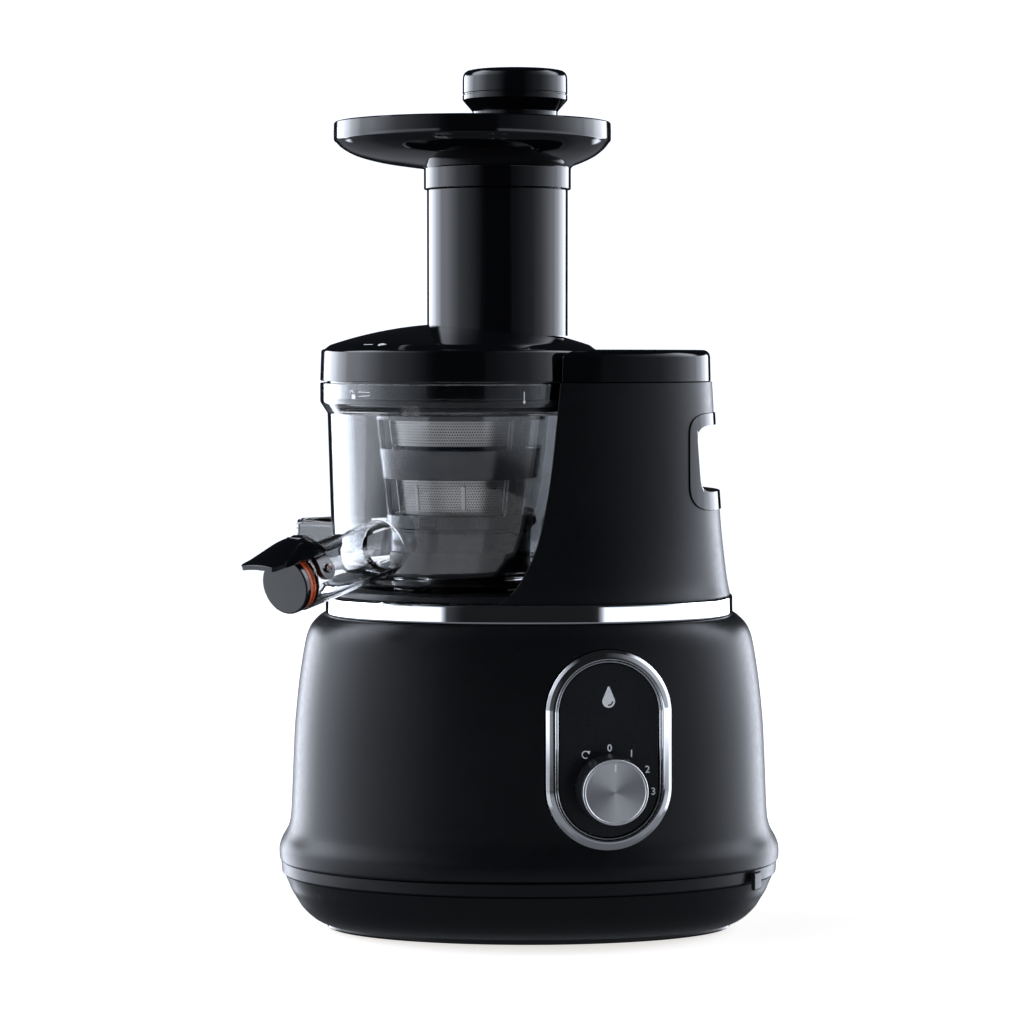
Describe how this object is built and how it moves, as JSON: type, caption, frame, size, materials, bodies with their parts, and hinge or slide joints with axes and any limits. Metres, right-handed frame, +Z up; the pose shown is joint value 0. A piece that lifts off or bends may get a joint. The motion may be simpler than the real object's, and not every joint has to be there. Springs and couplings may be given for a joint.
{
  "type": "vertical slow juicer",
  "caption": "Vertical slow juicer: oval motor base, side tower with grip, clear bowl with strainer, brush and auger, capped spout, pulp chute, lid with feed tube, tray and pusher.",
  "frame": {"origin": "centre of the foot plate's flat underside, on the surface the juicer stands on", "axes": "+Z up, +X towards the tower and its grip, -Y towards the front with the speed knob"},
  "size_m": [0.2598, 0.2247, 0.428],
  "materials": {
    "matte_black": "soft matte charcoal black",
    "gloss_black": "polished black",
    "clear_plastic": "clear, faintly smoky",
    "grey_plastic": "satin dark grey",
    "gear_plastic": "natural nylon",
    "chrome": "mirror chrome plating",
    "knob_aluminium": "radially brushed",
    "steel": "satin steel",
    "rubber": "matt black rubber",
    "red_silicone": "translucent orange red silicone",
    "board": "green circuit board"
  },
  "bodies": {
    "base": {"foot_plate": "gloss_black", "rubber_foot_1": "rubber", "rubber_foot_2": "rubber", "rubber_foot_3": "rubber", "rubber_foot_4": "rubber", "base_screw_1": "steel", "base_screw_2": "steel", "base_screw_3": "steel", "base_screw_4": "steel", "bottom_pan": "matte_black", "cord_gland": "rubber", "side_lug": "gloss_black", "base_housing": "matte_black", "chrome_band": "chrome", "upper_housing": "matte_black", "tower_cap": "gloss_black", "handle_insert": "gloss_black", "bezel_ring": "chrome", "control_panel": "gloss_black", "rotary_switch": "grey_plastic", "motor_stator": "steel", "motor_bracket": "steel", "gearbox_base": "grey_plastic", "gearbox_cover": "grey_plastic", "idler_axle": "steel", "shaft_bearing": "steel", "shaft_seal": "rubber", "circuit_board": "board"},
    "knob": {"speed_knob": "gloss_black", "knob_face": "knob_aluminium"},
    "rotor": {"motor_rotor": "steel", "motor_pinion": "steel", "cooling_fan": "gear_plastic"},
    "reduction": {"reduction_gear": "gear_plastic"},
    "drive": {"drive_shaft": "steel", "output_gear": "gear_plastic"},
    "bowl": {"juice_bowl": "clear_plastic", "bowl_packing": "rubber", "strainer_frame": "grey_plastic", "strainer_mesh_upper": "steel", "strainer_mesh_lower": "steel", "cap_bracket": "gloss_black"},
    "screw": {"auger": "grey_plastic"},
    "brush_pinion": {"brush_idler": "gear_plastic"},
    "brush": {"brush_holder": "grey_plastic", "wiper_blade_1": "red_silicone", "wiper_blade_2": "red_silicone", "wiper_blade_3": "red_silicone"},
    "juice_cap": {"cap_lever": "gloss_black", "spout_cap": "grey_plastic", "cap_seal": "red_silicone"},
    "gasket": {"lid_gasket": "rubber"},
    "lid": {"lid": "gloss_black"},
    "tray": {"feed_tray": "gloss_black"},
    "pusher": {"pusher": "gloss_black"}
  },
  "joints": [
    {"name": "knob_turn", "type": "hinge", "parent": "base", "child": "knob", "pos_m": [0.03737, -0.07487, 0.08091], "axis": [-0.1391, 0.9899, -0.0262], "range_deg": [-30, 90]},
    {"name": "drive_spin", "type": "hinge", "parent": "base", "child": "drive", "pos_m": [-0.0345, 0, 0.13], "axis": [0, 0, 1], "continuous": true},
    {"name": "reduction_spin", "type": "hinge", "parent": "base", "child": "reduction", "pos_m": [0.0035, 0, 0.13], "axis": [0, 0, 1], "continuous": true},
    {"name": "rotor_spin", "type": "hinge", "parent": "base", "child": "rotor", "pos_m": [0.0335, 0, 0.07], "axis": [0, 0, 1], "continuous": true},
    {"name": "bowl_lift", "type": "slide", "parent": "base", "child": "bowl", "axis": [0, 0, 1], "range_m": [0, 0.12]},
    {"name": "auger_spin", "type": "hinge", "parent": "bowl", "child": "screw", "pos_m": [-0.0345, 0, 0.22], "axis": [0, 0, 1], "continuous": true},
    {"name": "brush_pinion_spin", "type": "hinge", "parent": "bowl", "child": "brush_pinion", "pos_m": [-0.0255, 0.01559, 0.184], "axis": [0, 0, 1], "continuous": true},
    {"name": "brush_spin", "type": "hinge", "parent": "bowl", "child": "brush", "pos_m": [-0.0345, 0, 0.22], "axis": [0, 0, 1], "continuous": true},
    {"name": "cap_swing", "type": "hinge", "parent": "bowl", "child": "juice_cap", "pos_m": [-0.10846, -0.09815, 0.20133], "axis": [-0.7986, 0.6018, 0], "range_deg": [0, 100]},
    {"name": "lid_lift", "type": "slide", "parent": "bowl", "child": "gasket", "axis": [0, 0, 1], "range_m": [0, 0.06]},
    {"name": "lid_turn", "type": "hinge", "parent": "gasket", "child": "lid", "pos_m": [-0.0345, 0, 0.28], "axis": [0, 0, 1], "range_deg": [0, 30]},
    {"name": "tray_lift", "type": "slide", "parent": "lid", "child": "tray", "axis": [0, 0, 1], "range_m": [0, 0.05]},
    {"name": "pusher_slide", "type": "slide", "parent": "tray", "child": "pusher", "axis": [0, 0, 1], "range_m": [0, 0.11]}
  ],
  "couplings": [
    {"joint": "reduction_spin", "follows": "drive_spin", "ratio": -3.75},
    {"joint": "rotor_spin", "follows": "drive_spin", "ratio": 15},
    {"joint": "auger_spin", "follows": "drive_spin", "ratio": 1},
    {"joint": "brush_pinion_spin", "follows": "drive_spin", "ratio": -1},
    {"joint": "brush_spin", "follows": "drive_spin", "ratio": -0.33333}
  ]
}
